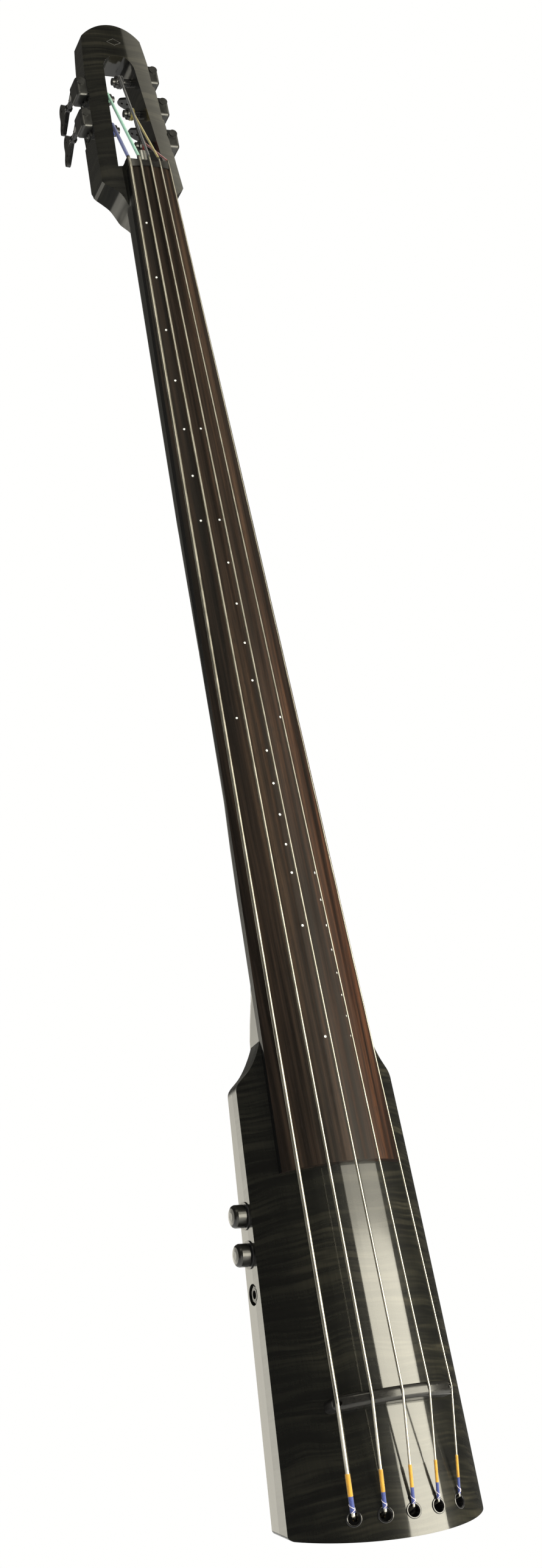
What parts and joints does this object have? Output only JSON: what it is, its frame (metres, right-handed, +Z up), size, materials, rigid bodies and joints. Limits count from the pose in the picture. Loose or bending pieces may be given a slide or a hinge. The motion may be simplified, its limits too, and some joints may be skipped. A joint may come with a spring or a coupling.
{
  "type": "double bass",
  "caption": "Slim solid-body upright double bass with arched flamed top, long fretless fingerboard, open slotted head, worm-geared tuners, low arched bridge and edge controls.",
  "frame": {"origin": "mouth of the threaded stand hole in the flat back", "axes": "+X towards the treble side, -Y to the front where the strings are, +Z up along the neck to the head"},
  "size_m": [0.1602, 0.1014, 1.3422],
  "materials": {
    "flamed_black_maple": "transparent black gloss over flamed maple",
    "black_lacquer_wood": "transparent black gloss",
    "rosewood": "oiled satin",
    "pearl": "polished",
    "ebony": "polished black",
    "inlay_silver": "satin",
    "steel": "satin",
    "sensor_tape": "thin foil",
    "black_steel": "black oxide",
    "black_eyelet": "gloss black",
    "brass": "bright",
    "silk_gold": "wound thread",
    "silk_blue": "wound thread",
    "silk_green": "wound thread",
    "silk_black": "wound thread",
    "silk_yellow": "wound thread",
    "silk_red": "wound thread",
    "string_steel": "flat wound, polished",
    "tuner_black": "black chrome",
    "knob_black": "satin gloss",
    "control_case": "tinned",
    "jack_metal": "plated",
    "circuit_green": "lacquered board",
    "cover_plastic": "fine texture",
    "plate_aluminium": "anodised grey"
  },
  "bodies": {
    "instrument": {"body_core": "black_lacquer_wood", "body_top": "flamed_black_maple", "bridge": "ebony", "bridge_pickup": "sensor_tape", "bridge_screws": "black_steel", "cavity_cover": "cover_plastic", "cavity_cover_screws": "steel", "circuit_board": "circuit_green", "control_nuts": "black_steel", "control_washers": "black_steel", "fingerboard": "rosewood", "head_silk_1": "silk_blue", "head_silk_2": "silk_green", "head_silk_3": "silk_black", "head_silk_4": "silk_yellow", "head_silk_5": "silk_red", "headstock": "flamed_black_maple", "headstock_inlay": "inlay_silver", "jack_nut": "jack_metal", "neck": "black_lacquer_wood", "nut": "ebony", "output_jack": "jack_metal", "position_dots": "pearl", "stand_plate": "plate_aluminium", "stand_plate_screws": "steel", "string_1": "string_steel", "string_2": "string_steel", "string_3": "string_steel", "string_4": "string_steel", "string_5": "string_steel", "string_anchors": "black_eyelet", "string_ball_ends": "brass", "tail_silk_blue": "silk_blue", "tail_silk_gold": "silk_gold", "tone_control": "control_case", "truss_rod": "steel", "tuner_housing_1": "tuner_black", "tuner_housing_2": "tuner_black", "tuner_housing_3": "tuner_black", "tuner_housing_4": "tuner_black", "tuner_housing_5": "tuner_black", "tuner_screws": "black_steel", "volume_control": "control_case"},
    "tuner_key_1": {"tuner_key_1": "tuner_black"},
    "tuner_post_1": {"tuner_post_1": "tuner_black"},
    "tuner_key_2": {"tuner_key_2": "tuner_black"},
    "tuner_post_2": {"tuner_post_2": "tuner_black"},
    "tuner_key_3": {"tuner_key_3": "tuner_black"},
    "tuner_post_3": {"tuner_post_3": "tuner_black"},
    "tuner_key_4": {"tuner_key_4": "tuner_black"},
    "tuner_post_4": {"tuner_post_4": "tuner_black"},
    "tuner_key_5": {"tuner_key_5": "tuner_black"},
    "tuner_post_5": {"tuner_post_5": "tuner_black"},
    "volume_knob": {"volume_knob": "knob_black", "volume_shaft": "steel"},
    "tone_knob": {"tone_knob": "knob_black", "tone_shaft": "steel"},
    "truss_rod_nut": {"truss_rod_nut": "steel"}
  },
  "joints": [
    {"name": "tuner_key_1_turn", "type": "hinge", "parent": "instrument", "child": "tuner_key_1", "pos_m": [-0.04001, -0.05097, 1.1375], "axis": [0, 1, 0], "continuous": true},
    {"name": "tuner_post_1_turn", "type": "hinge", "parent": "instrument", "child": "tuner_post_1", "pos_m": [-0.03501, -0.04007, 1.1289], "axis": [1, 0, 0], "continuous": true},
    {"name": "tuner_key_2_turn", "type": "hinge", "parent": "instrument", "child": "tuner_key_2", "pos_m": [-0.03771, -0.04838, 1.1745], "axis": [0, 1, 0], "continuous": true},
    {"name": "tuner_post_2_turn", "type": "hinge", "parent": "instrument", "child": "tuner_post_2", "pos_m": [-0.03271, -0.03748, 1.1659], "axis": [1, 0, 0], "continuous": true},
    {"name": "tuner_key_3_turn", "type": "hinge", "parent": "instrument", "child": "tuner_key_3", "pos_m": [0.03613, -0.0468, 1.197], "axis": [0, 1, 0], "continuous": true},
    {"name": "tuner_post_3_turn", "type": "hinge", "parent": "instrument", "child": "tuner_post_3", "pos_m": [0.03113, -0.0359, 1.1884], "axis": [1, 0, 0], "continuous": true},
    {"name": "tuner_key_4_turn", "type": "hinge", "parent": "instrument", "child": "tuner_key_4", "pos_m": [0.03868, -0.04942, 1.1595], "axis": [0, 1, 0], "continuous": true},
    {"name": "tuner_post_4_turn", "type": "hinge", "parent": "instrument", "child": "tuner_post_4", "pos_m": [0.03367, -0.03853, 1.1509], "axis": [1, 0, 0], "continuous": true},
    {"name": "tuner_key_5_turn", "type": "hinge", "parent": "instrument", "child": "tuner_key_5", "pos_m": [0.04062, -0.05205, 1.122], "axis": [0, 1, 0], "continuous": true},
    {"name": "tuner_post_5_turn", "type": "hinge", "parent": "instrument", "child": "tuner_post_5", "pos_m": [0.03562, -0.04115, 1.1134], "axis": [1, 0, 0], "continuous": true},
    {"name": "volume_knob_turn", "type": "hinge", "parent": "instrument", "child": "volume_knob", "pos_m": [-0.06888, -0.02448, 0.144], "axis": [-0.9991, 0, 0.0429], "range_deg": [-150, 150]},
    {"name": "tone_knob_turn", "type": "hinge", "parent": "instrument", "child": "tone_knob", "pos_m": [-0.0701, -0.02205, 0.1155], "axis": [-0.9991, 0, 0.0429], "range_deg": [-150, 150]},
    {"name": "truss_rod_nut_turn", "type": "hinge", "parent": "instrument", "child": "truss_rod_nut", "pos_m": [0, -0.06404, 1.087], "axis": [0, 0, 1], "range_deg": [-180, 180]}
  ],
  "couplings": [
    {"joint": "tuner_post_1_turn", "follows": "tuner_key_1_turn", "ratio": 0.05},
    {"joint": "tuner_post_2_turn", "follows": "tuner_key_2_turn", "ratio": 0.05},
    {"joint": "tuner_post_3_turn", "follows": "tuner_key_3_turn", "ratio": -0.05},
    {"joint": "tuner_post_4_turn", "follows": "tuner_key_4_turn", "ratio": -0.05},
    {"joint": "tuner_post_5_turn", "follows": "tuner_key_5_turn", "ratio": -0.05}
  ]
}
